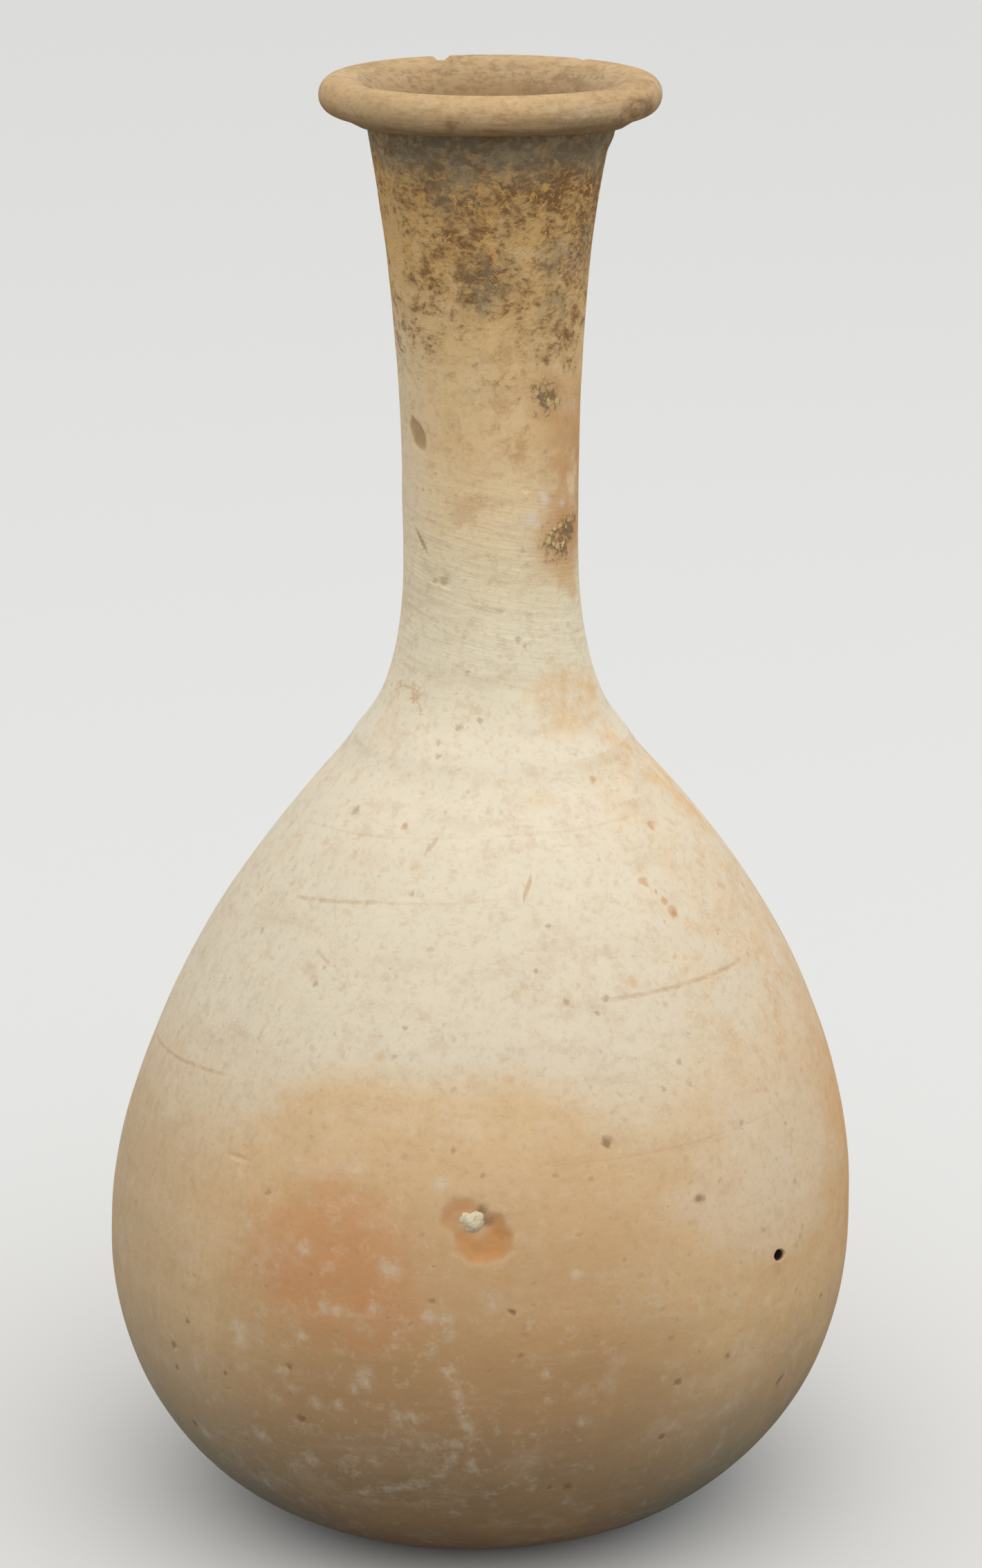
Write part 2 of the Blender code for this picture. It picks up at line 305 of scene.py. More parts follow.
class FiredClay:
    """The bare clay of the bottle, which each piece's own marks are then laid over."""

    def __init__(self, name, tones):
        """Tones are pairs of a height and a colour, from the bottom to the top of the piece."""
        bottom, top = tones[0][0], tones[-1][0]
        self.material = bpy.data.materials.new(name)
        self.material.use_nodes = True
        self.place = Shade(self.material.node_tree).node("ShaderNodeTexCoord", output="Object")
        split = self.place.node("ShaderNodeSeparateXYZ", {0: self.place}).socket.node
        self.x, self.y, self.height = (Shade(self.place.tree, axis) for axis in split.outputs)
        self.bearing = self.x.maths("ARCTAN2", self.x - MIDDLE_X, 0 - self.y) * (180 / math.pi)
        self.ragged = self.place.stirred(900, 3, (0.0012, 0.0012, 0.0012))
        self.wide = self.place.cloud(38, 3)
        self.mottle = self.place.cloud(170, 5, 0.6)
        self.drift = (self.wide - 0.5) * 0.012 + (self.mottle - 0.5) * 0.006
        level = (self.height + self.drift - bottom) / (top - bottom)
        stops = [((height - bottom) / (top - bottom), colour(*tone)) for height, tone in tones]
        self.colour = level.node("ShaderNodeValToRGB", {0: level}, stops=stops)
        self.relief = self.mottle * 0.00008
        self.rough = 0.80 + self.mottle * 0.12

    def weather(self):
        """Tonal drift, wiping streaks, grain, faint wheel lines and scattered pores of the coarse clay."""
        tone = 0.93 + self.wide * 0.06 + self.mottle * 0.10
        grey = tone.node("ShaderNodeCombineColor", {0: tone, 1: tone, 2: tone * 0.96 + 0.04})
        self.colour = self.colour.tint(1.0, grey, "MULTIPLY")
        self.stain(self.place.cloud(80, 6, 0.66).rise(0.52, 0.74) * 0.32, (222, 178, 126))
        self.stain(self.place.cloud(150, 6, 0.68).rise(0.53, 0.72) * 0.20, (236, 226, 206))
        wipes = self.place.cloud(70, 6, 0.70, (1, 1, 4))
        self.stain(wipes.rise(0.52, 0.72) * 0.16, (238, 226, 202))
        self.stain(wipes.fall(0.30, 0.48) * 0.18, (190, 152, 108))
        combed = self.place.cloud(110, 4, 0.70, (7, 7, 1))
        leftward = self.left(-45, -20) * self.height.fall(0.080, 0.094)
        self.stain(combed.fall(0.36, 0.50) * leftward * 0.11, (176, 144, 104))
        grit = self.place.cloud(430, 4, 0.75)
        self.stain(grit.fall(0.34, 0.50) * 0.22, (198, 160, 114))
        self.stain(grit.rise(0.54, 0.70) * 0.20, (240, 224, 194))
        grain = self.place.cloud(1100, 4, 0.72)
        self.stain(grain.fall(0.30, 0.50) * 0.22, (186, 150, 110))
        self.relief = self.relief + grain * 0.00004 + wipes * 0.00005 + combed * leftward * 0.00002
        for scale, share, across in ((360, 0.45, 0.16), (760, 0.20, 0.22)):
            middle, chosen = self.ragged.scattered(scale, share)
            pores = middle.fall(across * 0.3, across * 1.4) * chosen
            self.stain(pores * 0.26, (168, 134, 100))
            self.sink(pores, 0.00003)

    def left(self, full, start):
        """1 round the left side, from a bearing on, and 0 again at the back."""
        return self.bearing.fall(full, start) * self.bearing.rise(-172, -118)

    def band(self, start, full, fade, end):
        """1 between two heights, with soft ends."""
        return self.height.rise(start, full) * self.height.fall(fade, end)

    def sector(self, start, full, fade, end):
        """1 between two bearings, with soft ends."""
        return self.bearing.rise(start, full) * self.bearing.fall(fade, end)

    def facing(self, turn):
        """How far the clay faces the front, turned by some degrees: 1 ahead and -1 behind."""
        return self.x.maths("COSINE", (self.bearing + turn) * (math.pi / 180))

    def oval(self, middle, reach, torn, inner, outer):
        """A stain about a bearing and a height, which a noise tears at its edge."""
        across = (self.bearing - middle[0]) / reach[0]
        tall = (self.height - middle[1]) / reach[1]
        return (across * across + tall * tall + torn).fall(inner, outer)

    def pressed(self, name):
        """How far each point was pressed in, as the piece remembers it under a name."""
        return self.place.node("ShaderNodeAttribute", output="Fac", attribute_name=name)

    def stain(self, mask, tone):
        self.colour = self.colour.tint(mask, colour(*tone))

    def sink(self, mask, depth):
        self.relief = self.relief - mask * depth

    def blots(self, marks, soft=0.6):
        """Round marks, each a point and a width in millimetres."""
        mask = None
        for point, across in marks:
            away = self.ragged.vector("DISTANCE", self.ragged, tuple(point), output="Value")
            blot = (away / (across / 2000)).fall(1 - soft, 1 + soft * 0.5)
            mask = mask.either(blot) if mask else blot
        return mask

    def spots(self, marks, soft=0.6):
        """Round marks on the outside, each a bearing, a height and a width in millimetres."""
        places = [(on_wall(bearing, height / 1000), across) for bearing, height, across in marks]
        return self.blots(places, soft)

    def chalk(self, flecks):
        """Lime that has bloomed in soft whitish flecks, each a bearing, a height and a width."""
        broken = self.place.cloud(520, 5, 0.76).rise(0.38, 0.60)
        self.stain(self.spots(flecks, 1.0) * broken * 0.54, CHALK)

    def scratch(self, start, end, width):
        """A thin line between two bearings and heights in millimetres, tapering at its ends."""
        (first, low), (last, high) = start, end
        share = (self.bearing - first) / (last - first)
        line = (low + share * (high - low)) / 1000 + (self.mottle - 0.5) * 0.0004
        stroke = ((self.height - line).size() / width).fall(0.2, 1.0)
        return stroke * share.rise(0.0, 0.1) * share.fall(0.8, 1.0)

    def fire(self):
        """Joins the finished colour, roughness and relief to the shader."""
        shader = self.material.node_tree.nodes["Principled BSDF"]
        links = self.material.node_tree.links
        bump = self.relief.node("ShaderNodeBump", {"Height": self.relief, "Strength": 1.0, "Distance": 1.0})
        links.new(self.colour.socket, shader.inputs["Base Color"])
        links.new(self.rough.socket, shader.inputs["Roughness"])
        links.new(bump.socket, shader.inputs["Normal"])
        shader.inputs["Specular IOR Level"].default_value = 0.2
        return self.material


def fit(piece, node, finish):
    """Dresses a piece in its finish and puts it in the place of its solid."""
    piece.data.materials.clear()
    piece.data.materials.append(finish)
    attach(piece, "root")
    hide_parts(node)


base_seam = along_at(BELLY_Z * (1 - math.cos(math.asin((BASE_SEAM_R - FOOT_R) / (BELLY_R - FOOT_R)))))
base_section = [(0, 0), (FOOT_R * 0.35, 0), (FOOT_R * 0.7, 0)]
base_section += run(OUTSIDE, 0, base_seam, spacing=0.0006)
base_section += reversed(run(INSIDE, 0, base_seam + SEAM_LAP, spacing=0.002))
base_section += [(FOOT_R / 2, FLOOR_WALL), (0, FLOOR_WALL)]
base = throw("base_clay_disc", base_section, around=240)
base_clay = FiredClay("base_clay", BASE_TONES)
base_clay.weather()
fit(base, "base_disc", base_clay.fire())

# Lower body: the thrown bowl of tan clay, from the base disc up to the widest level of the belly.
# Lime has bloomed on it in chalky white flecks, low at the front, and pores show all round.
# The tones darken and grey towards the foot: painted shade under the bowl.
LOWER_TONES = [
    (0.000, (115, 116, 107)),
    (0.008, (134, 131, 118)),
    (0.016, (163, 149, 123)),
    (0.025, (199, 170, 132)),
    (0.035, (222, 188, 141)),
]
CHALK = (226, 213, 188)
SKIN_MM = 2.2
RAGGED_LUMPS = 650


def frame_at(bearing, height):
    """The outside at a bearing and a height: the point, the way round, the way up and the way out."""
    angle = math.radians(bearing)
    side = Vector((math.cos(angle), math.sin(angle), 0))
    rise = float(wall_radius(height + 0.0002) - wall_radius(height - 0.0002)) / 0.0004
    up = Vector((rise * math.sin(angle), -rise * math.cos(angle), 1)).normalized()
    return on_wall(bearing, height), side, up, side.cross(up)


def refine(piece, bearing, height, reach, cuts):
    """Cuts the outer faces around a spot finer, so that a small hollow has a true shape."""
    point = np.array(on_wall(bearing, height / 1000))
    middles = np.empty(len(piece.data.polygons) * 3)
    piece.data.polygons.foreach_get("center", middles)
    near = np.linalg.norm(middles.reshape(-1, 3) - point, axis=1) < reach / 1000
    bpy.ops.object.select_all(action="DESELECT")
    bpy.context.view_layer.objects.active = piece
    piece.select_set(True)
    bpy.ops.object.mode_set(mode="EDIT")
    bpy.ops.mesh.select_all(action="DESELECT")
    bpy.ops.object.mode_set(mode="OBJECT")
    piece.data.polygons.foreach_set("select", near)
    bpy.ops.object.mode_set(mode="EDIT")
    bpy.ops.mesh.subdivide(number_cuts=cuts)
    bpy.ops.object.mode_set(mode="OBJECT")


def press(piece, spot, across, tall, depth, steep=0.7, ragged=0.35):
    """Presses a hollow, sized in millimetres, and returns how far each point fell, as a share."""
    point, side, up, out = (np.array(v) for v in spot)
    points = points_of(piece)
    away = (points - point) * 1000
    outer = np.abs(away @ out) < SKIN_MM
    reach = np.full(len(points), np.inf)
    reach[outer] = np.hypot(away[outer] @ side / across, away[outer] @ up / tall) * 2
    near = reach < 2
    reach[near] *= 1 + ragged * lumps(points[near], RAGGED_LUMPS)
    share = np.clip((1 + steep / 2 - reach) / steep, 0, 1)
    share = share * share * (3 - 2 * share)
    points -= np.outer(share, out) * (depth / 1000)
    move_to(piece, points)
    return share


def pit(piece, marks):
    """Presses rough pits, each a bearing, a height, a width, and a depth in millimetres."""
    for bearing, height, across, depth in marks:
        refine(piece, bearing, height, reach=across * 0.5 + 0.8, cuts=3)
        press(piece, frame_at(bearing, height / 1000), across, across * 0.8, depth, steep=0.8, ragged=0.6)


# Marks on the wall: a bearing, then height and width in millimetres, and for a pit its depth as well.
LOWER_PITS = [
    (54.8, 24.1, 1.7, 0.10), (30.9, 30.0, 1.0, 0.06), (-29.0, 32.4, 1.0, 0.07), (-27.3, 25.5, 1.2, 0.08),
    (-52.8, 29.7, 1.1, 0.07), (-52.8, 26.6, 0.9, 0.06), (39.9, 31.7, 0.8, 0.06), (29.8, 22.5, 0.9, 0.06),
    (131, 22, 1.4, 0.09), (166, 30, 1.0, 0.07), (-148, 18, 1.5, 0.09), (-112, 27, 1.1, 0.07),
]
LOWER_DOTS = [
    (-52.6, 18.6, 1.2), (-48.9, 34.0, 1.0), (14.9, 17.0, 1.2), (12.0, 17.2, 0.8), (100, 19, 1.1),
    (63.9, 33.2, 0.9), (-41.0, 29.0, 0.8), (150, 26, 0.9), (-160, 30, 0.9),
]
FLECKS = [
    (-17.3, 33.0, 3.0), (-16.4, 31.8, 2.2), (-18.6, 31.0, 1.8), (-9.4, 28.2, 2.4), (-11.8, 27.7, 2.0),
    (-1.4, 26.4, 2.2), (-20.8, 28.5, 1.8), (-24.7, 28.0, 2.2), (-35.4, 21.6, 2.6), (-37.8, 34.2, 2.4),
    (-27.0, 19.4, 2.4), (-15.8, 21.1, 2.0), (-19.6, 21.4, 2.2), (-30.4, 31.4, 1.6), (9.7, 33.9, 1.6),
    (15.6, 26.9, 1.6), (28.5, 30.9, 1.2), (-50.4, 18.0, 2.4), (-39.0, 13.0, 2.6), (122, 29, 3.2),
    (125, 26, 2.4), (-135, 25, 3.6), (-128, 30, 2.2), (176, 20, 3.0),
]
CHALK_RUNS = [
    [(-4.8, 34.9), (-3.6, 33.3), (-2.6, 30.2), (-1.4, 26.4), (-0.6, 23.5), (-0.5, 19.8)],
    [(-20.0, 15.2), (-14.9, 16.6), (-11.2, 17.4), (-8.1, 18.4), (-5.7, 19.8), (-3.8, 22.0), (-3.2, 23.4)],
    [(-7.8, 24.2), (-3.4, 24.6), (1.4, 25.0)],
    [(138, 31.0), (143, 27.0), (144, 22.0)],
]
RUN_MM = 1.5
MM_PER_DEGREE = 0.75


def trail(places, across):
    """Flecks of one width, close together along a line of bearings and heights in millimetres."""
    flecks = []
    for (bearing, height), (next_bearing, next_height) in zip(places, places[1:]):
        turn = next_bearing - bearing
        climb = next_height - height
        count = math.ceil(math.hypot(turn * MM_PER_DEGREE, climb))
        for share in np.arange(count) / count:
            flecks.append((bearing + share * turn, height + share * climb, across))
    return flecks


def deepen_front(clay):
    """The tan is deeper and warmer over the front of the belly, and greyer round to the left."""
    front = (clay.facing(4) + (clay.wide - 0.5) * 0.3).rise(0.70, 1.0)
    lighter = clay.band(0.037, 0.044, 0.050, 0.060)
    darker = clay.band(0.022, 0.030, 0.035, 0.041)
    greyer = clay.band(0.013, 0.018, 0.023, 0.029)
    clay.stain(front * clay.height.fall(0.040, 0.066) * (0.64 - lighter * 0.14), (187, 144, 98))
    clay.stain(front * darker * 0.20, (158, 116, 72))
    clay.stain(front * greyer * 0.20, (120, 112, 96))
    clay.stain(clay.left(-75, -30) * clay.height.fall(0.050, 0.070) * 0.46, (193, 177, 152))


belly_seam = along_at(BELLY_Z)
lower_section = run(OUTSIDE, base_seam, belly_seam, spacing=0.0007)
lower_section += reversed(run(INSIDE, base_seam + SEAM_LAP, belly_seam + SEAM_LAP, spacing=0.003))
lower_section.append(lower_section[0])
lower = throw("lower_bowl", lower_section, around=420)
pit(lower, LOWER_PITS)
lower_clay = FiredClay("lower_clay", LOWER_TONES)
deepen_front(lower_clay)
lower_clay.weather()
lower_dark = lower_clay.spots([mark[:3] for mark in LOWER_PITS] + LOWER_DOTS)
lower_clay.stain(lower_dark * 0.50, (122, 88, 60))
lower_clay.sink(lower_dark, 0.00004)
haze = lower_clay.sector(-60, -35, 0, 14) * lower_clay.band(0.008, 0.014, 0.026, 0.034)
lower_clay.stain(haze * lower_clay.place.cloud(700, 4, 0.72).rise(0.56, 0.68) * 0.28, CHALK)
lower_clay.chalk(FLECKS + [fleck for places in CHALK_RUNS for fleck in trail(places, RUN_MM)])
fit(lower, "lower_body", lower_clay.fire())

# Upper body: the shoulder dome, thrown apart and luted over the bowl. It wears the cream slip, which
# ends in a soft edge over the tan, and a grain of lime has burst a spall out of its front.
UPPER_TONES = [
    (0.035, (223, 189, 142)),
    (0.050, (227, 191, 144)),
    (0.064, (228, 196, 152)),
    (0.080, (232, 214, 182)),
    (0.0996, (239, 225, 196)),
]
CREAM = (232, 220, 195)
COLLAR_CREAM = (240, 228, 203)
WARM_CREAM = (238, 188, 118)
SCRATCH_TAN = (190, 142, 88)
FRECKLE_TAN = (218, 170, 112)
UPPER_PITS = [
    (19.3, 60.5, 1.2, 0.06), (34.6, 52.1, 1.4, 0.06), (46.3, 82.7, 1.6, 0.10), (41.6, 86.5, 1.2, 0.08),
    (55.1, 91.3, 1.4, 0.08), (-49.1, 93.4, 1.2, 0.08), (4.4, 41.7, 0.9, 0.06), (-17.7, 69.6, 0.9, 0.06),
    (118, 58, 1.5, 0.08), (152, 72, 1.2, 0.07), (-128, 47, 1.4, 0.08), (-165, 66, 1.1, 0.07),
    (-105, 80, 1.2, 0.07),
]
DEEP_DOTS = [
    (19.3, 60.5, 1.2), (34.6, 52.2, 1.0), (35.6, 52.0, 0.8), (4.4, 41.7, 0.9), (46.3, 82.5, 1.0),
]
BROWN_DOTS = [
    (19.3, 60.5, 1.5), (34.6, 52.1, 1.5), (4.4, 41.7, 0.9), (-17.7, 69.6, 0.9), (-5.6, 60.3, 1.0),
    (-0.6, 57.4, 0.8), (-7.2, 42.8, 0.8), (-35.7, 52.6, 0.9), (5.9, 36.3, 0.9), (10.7, 57.4, 0.8),
    (-37.3, 75.9, 0.8), (-16.5, 72.8, 0.7), (-20.5, 86.5, 1.0), (14.7, 75.6, 0.9), (20.3, 74.2, 0.8),
    (-49.1, 93.4, 1.4), (22.6, 75.6, 0.9), (9.3, 79.1, 0.7), (13.1, 83.6, 0.7), (35.0, 67.7, 0.9),
    (30.8, 65.2, 0.8), (-59.1, 79.0, 0.9), (118, 58, 1.4), (152, 72, 1.2), (-128, 47, 1.4),
    (-165, 66, 1.1), (-105, 80, 1.2),
]
FAINT_DOTS = [
    (45.6, 59.3, 0.7), (56.4, 49.8, 0.9), (47.2, 46.1, 0.9), (56.4, 42.9, 0.9), (57.4, 43.9, 0.8),
    (55.1, 36.4, 0.8), (29.2, 36.2, 0.8), (16.2, 56.6, 0.8), (38.9, 53.6, 0.6), (21.5, 46.8, 0.7),
    (108, 70, 0.9), (134, 50, 1.0), (162, 84, 0.8), (-150, 54, 1.0), (-118, 66, 0.9), (-174, 43, 0.9),
]
RUST_DOTS = [
    (46.3, 82.7, 1.8), (45.1, 84.0, 0.9), (41.6, 86.5, 1.4), (55.1, 91.3, 1.4), (43.6, 85.2, 0.7),
    (41.2, 97.2, 1.3), (-28.1, 93.1, 1.0), (56.6, 56.8, 0.9), (140, 88, 1.4), (-140, 92, 1.2),
]
UPPER_FLECKS = [
    (-27.5, 47.4, 2.4), (-23.2, 52.1, 1.8), (-27.5, 52.4, 1.4), (-13.8, 46.5, 3.2), (-37.9, 36.0, 3.0),
    (-23.7, 40.9, 1.8), (-21.6, 40.8, 1.6), (-15.7, 41.5, 2.0), (-20.9, 36.4, 2.4), (-26.7, 36.4, 2.2),
    (-5.3, 40.9, 2.6), (-4.8, 39.2, 2.2), (-7.7, 40.9, 2.4), (-7.1, 37.0, 2.0), (1.3, 43.2, 2.8),
    (-20.6, 54.0, 2.2), (-7.3, 56.7, 2.2), (1.4, 57.4, 2.0), (13.9, 46.0, 1.8), (48.2, 37.2, 1.6),
    (41.2, 38.2, 1.4), (109, 44, 3.0), (113, 41, 2.2), (-121, 40, 3.4), (-126, 44, 2.2), (160, 50, 2.4),
]
WARM_COLLAR = [(67, 100.0, 5.0), (75, 98.4, 7.0), (81, 95.8, 7.0), (86, 92.5, 7.0), (90, 88.5, 6.0)]
LIME_DUST = [(-1.5, 52.2, 3.4), (-3.4, 52.4, 2.4)]
GRAIN_SHADE = [(0.2, 52.6, 1.6), (-0.7, 53.7, 1.6)]
PINHOLE_STAIN = [(50.8, 41.6, 3.2)]
# Scratches: start and end, each a bearing and a height in millimetres, then width, depth and strength.
SCRATCHES = [
    ((-70, 90.5), (0.5, 92.7), 0.00024, 0.00001, 0.13),
    ((0.0, 92.7), (56, 92.9), 0.00024, 0.00001, 0.13),
    ((-54, 83.5), (-24, 85.4), 0.00036, 0.00002, 0.40),
    ((-30, 85.0), (8, 86.6), 0.00024, 0.00001, 0.15),
    ((22, 75.4), (67, 75.5), 0.00038, 0.00002, 0.44),
    ((-84, 61.2), (-48, 63.9), 0.00036, 0.00002, 0.40),
    ((8.4, 86.3), (11.6, 88.8), 0.00080, 0.00002, 0.46),
    ((-18.8, 90.6), (-15.2, 92.4), 0.00070, 0.00002, 0.36),
    ((-40.2, 79.2), (-34.5, 78.0), 0.00034, 0.00003, 0.30),
    ((7.0, 58.3), (60, 59.0), 0.00024, 0.00001, 0.12),
    ((120, 64), (166, 66), 0.00040, 0.00002, 0.50),
    ((-170, 78), (-125, 76), 0.00038, 0.00002, 0.46),
]


def tilted(spot, degrees):
    """A place on the wall, with its ways round and up turned clockwise about the way out."""
    point, side, up, out = spot
    angle = math.radians(degrees)
    side = side * math.cos(angle) - up * math.sin(angle)
    return point, side, out.cross(side), out


def remember(piece, name, shares):
    """Keeps how far each point was pressed in, under a name that the piece's clay can ask for."""
    piece.data.attributes.new(name, "FLOAT", "POINT").data.foreach_set("value", shares)


collar_seam = along_at(COLLAR_Z)
upper_section = run(OUTSIDE, belly_seam, collar_seam, spacing=0.0007)
upper_section += reversed(run(INSIDE, belly_seam + SEAM_LAP, collar_seam + SEAM_LAP, spacing=0.003))
upper_section.append(upper_section[0])
upper = throw("shoulder_dome", upper_section, around=420)
refine(upper, -1.2, 51.0, reach=6.0, cuts=3)
refine(upper, 50.8, 41.9, reach=2.2, cuts=4)
refine(upper, -42.8, 55.6, reach=2.6, cuts=2)
pit(upper, UPPER_PITS)
bowl = press(upper, frame_at(-0.2, 0.0504), across=5.8, tall=5.0, depth=0.46, steep=0.9, ragged=0.20)
shelf = press(upper, frame_at(-3.4, 0.0530), across=5.0, tall=3.4, depth=0.16, steep=1.4, ragged=0.20)
pinhole_spot = tilted(frame_at(50.8, 0.0420), 13)
pinhole = press(upper, pinhole_spot, across=1.9, tall=1.2, depth=1.7, steep=0.5, ragged=0.10)
press(upper, frame_at(-42.8, 0.0556), across=3.4, tall=0.6, depth=0.12, steep=0.9, ragged=0.2)
remember(upper, "spall", np.maximum(bowl, shelf * 0.6))
remember(upper, "pinhole", pinhole)

upper_clay = FiredClay("upper_clay", UPPER_TONES)
deepen_front(upper_clay)
# The edge of the slip is highest and crispest at the front.
toward = upper_clay.facing(10).rise(0.80, 0.97)
rightward = upper_clay.sector(8, 40, 70, 110)
edge = 0.0605 + toward * 0.0069 + rightward * 0.0035
soft = 0.0105 - toward * 0.0076
slip = ((upper_clay.height + upper_clay.drift * 0.45 - edge) / soft).rise(-1, 1)
upper_clay.stain(slip * 0.9, CREAM)
upper_clay.stain(upper_clay.height.rise(0.078, 0.0985) * 0.8, COLLAR_CREAM)
# A blush from the fire lies left of the spall, with a tail below it and a faint one at the back.
flame = upper_clay.place.cloud(110, 7, 0.74)
torn = flame - 0.5
blush = upper_clay.oval((-24, 0.0452), (15, 0.0100), torn * 3.4, -0.3, 1.7)
tail = upper_clay.oval((-17.5, 0.0396), (6, 0.0042), torn * 2.6, -0.3, 1.5) * 0.6
back_blush = upper_clay.oval((158, 0.0440), (17, 0.0090), torn * 3.4, -0.3, 1.7)
back_blush = back_blush * upper_clay.bearing.rise(120, 140) * 0.45
blush = blush.either(tail).either(back_blush)
upper_clay.stain(blush * 0.68, (213, 148, 96))
upper_clay.stain(blush * upper_clay.place.cloud(210, 5, 0.72).rise(0.50, 0.68) * 0.40, (214, 138, 86))
# The right side has a pale patch, with ruddy clay beyond it and rosy veins above.
pale = upper_clay.oval((52, 0.0530), (22, 0.0110), torn * 1.6, 0.0, 1.4)
upper_clay.stain(pale * 0.58, (236, 219, 192))
ruddy = upper_clay.sector(62, 82, 95, 120) * upper_clay.height.fall(0.070, 0.085)
upper_clay.stain(ruddy * upper_clay.mottle.rise(0.35, 0.60) * 0.38, (222, 162, 100))
rosy = upper_clay.sector(22, 62, 95, 130) * upper_clay.height.rise(0.058, 0.068)
upper_clay.stain(rosy * (0.14 + flame.rise(0.42, 0.60) * 0.30), (232, 194, 148))
rosy_veins = (upper_clay.place.cloud(130, 4, 0.62) - 0.5).size().fall(0.003, 0.020)
upper_clay.stain(rosy * rosy_veins * flame.rise(0.44, 0.56) * 0.40, (224, 174, 114))
upper_clay.weather()
# Scratches, dots and freckles, and the warm slip that runs over from the foot of the neck.
scuffed = upper_clay.place.cloud(420, 4, 0.70).rise(0.36, 0.58)
for start, end, width, depth, strength in SCRATCHES:
    line = upper_clay.scratch(start, end, width)
    upper_clay.stain(line * strength * (0.3 + scuffed * 0.7), SCRATCH_TAN)
    upper_clay.sink(line, depth)
brown = upper_clay.spots(BROWN_DOTS)
upper_clay.stain(brown * 0.38, (140, 104, 76))
upper_clay.stain(upper_clay.spots(FAINT_DOTS) * 0.28, (142, 102, 72))
middle, chosen = upper_clay.ragged.scattered(270, 0.40)
freckles = middle.fall(0.06, 0.30) * chosen * upper_clay.place.cloud(65, 3).rise(0.46, 0.60)
upper_clay.stain(freckles * 0.55, FRECKLE_TAN)
upper_clay.stain(upper_clay.spots(DEEP_DOTS) * 0.40, (112, 76, 54))
upper_clay.sink(brown, 0.00004)
rust = upper_clay.spots(RUST_DOTS)
upper_clay.stain(rust * 0.60, (208, 152, 92))
warm_collar = upper_clay.spots(WARM_COLLAR, 1.0) * upper_clay.place.cloud(230, 6, 0.76).rise(0.40, 0.56)
upper_clay.stain(warm_collar * 0.72, WARM_CREAM)
upper_clay.chalk(UPPER_FLECKS)
# The spall is raw orange clay with lime dust, with a painted shadow beside its grain. The pinhole has a
# brown stain.
spall = upper_clay.pressed("spall")
upper_clay.stain(spall.rise(0.0, 0.75) * (0.30 + upper_clay.place.cloud(480, 5, 0.7) * 0.80), (205, 141, 79))
upper_clay.stain(spall.rise(0.05, 0.30) * spall.fall(0.40, 0.90) * 0.25, (184, 126, 82))
upper_clay.stain(spall * upper_clay.spots(LIME_DUST, 1.0) * 0.60, (226, 208, 172))
upper_clay.stain(upper_clay.spots(GRAIN_SHADE, 1.0) * 0.60, (112, 86, 66))
upper_clay.stain(upper_clay.spots(PINHOLE_STAIN, 1.0) * 0.35, (192, 138, 96))
# The inside of the pinhole is painted near black: painted shade in the hole.
upper_clay.stain(upper_clay.pressed("pinhole").rise(0.02, 0.32), (48, 34, 24))
fit(upper, "upper_body", upper_clay.fire())

# Lime grain: the lump of white lime that swelled in the firing and burst the spall. It sits in the floor
# of the spall, a larger lobe with a small one at its left.
LOBE_R = 0.0013
SMALL_LOBE_R = 0.00080
SMALL_LOBE_PLACE = (-0.0015, 0.0002, 0.0004)
GRAIN_VOXEL = 0.00013
GRAIN_SWELLS = ((1000, 0.16), (3000, 0.09))
GRAIN_SLANT = 0.35
GRAIN_STRETCH = (0.92, 0.62, 1.04)
GRAIN_DEPTH = 0.0006
LIME_TONES = [(0.0508, (226, 212, 176)), (0.0540, (232, 221, 190))]
bpy.ops.object.select_all(action="DESELECT")
bpy.ops.mesh.primitive_ico_sphere_add(subdivisions=3, radius=SMALL_LOBE_R, location=SMALL_LOBE_PLACE)
small_lobe = bpy.context.object
bpy.ops.mesh.primitive_ico_sphere_add(subdivisions=3, radius=LOBE_R)
grain = bpy.context.object
grain.name = "lime_lump"
small_lobe.select_set(True)
bpy.ops.object.join()
knead = grain.modifiers.new("knead", "REMESH")
knead.mode = "VOXEL"
knead.voxel_size = GRAIN_VOXEL
bpy.ops.object.modifier_apply(modifier="knead")
bpy.ops.object.shade_smooth()
grain_points = points_of(grain)
grain_swell = sum(lumps(grain_points, scale) * height for scale, height in GRAIN_SWELLS)
grain_points *= 1 + grain_swell[:, None]
grain_points[:, 0] += grain_points[:, 2] * GRAIN_SLANT
grain_points *= GRAIN_STRETCH
move_to(grain, grain_points + np.array(on_wall(-1.7, 0.0522)) + (0, GRAIN_DEPTH, 0))
lime = FiredClay("lime", LIME_TONES)
lime.stain(lime.place.cloud(1500, 3, 0.6).fall(0.36, 0.56) * 0.5, (200, 178, 138))
fit(grain, "lime_grain", lime.fire())

# Neck: the thrown tube, luted on at the kink above the shoulder. Slip was brushed round its foot, and old
# oil and soil have left a dark mottled stain under the lip.
LIP_LAP = 0.0020
NECK_TONES = [
    (0.0996, (238, 226, 201)),
    (0.1015, (239, 227, 202)),
    (0.106, (246, 233, 204)),
    (0.114, (252, 239, 207)),
    (0.124, (252, 234, 195)),
    (0.131, (252, 225, 179)),
    (0.139, (249, 214, 161)),
    (0.147, (246, 211, 156)),
    (0.160, (235, 195, 131)),
    (0.1740, (224, 182, 120)),
]
NECK_PITS = [
    (-31.7, 120.6, 1.5, 0.07), (-38.8, 120.4, 1.1, 0.05), (17.0, 113.7, 0.9, 0.08),
    (23.5, 132, 0.8, 0.06), (150, 128, 1.3, 0.10), (-140, 116, 1.4, 0.10), (176, 108, 1.0, 0.08),
]
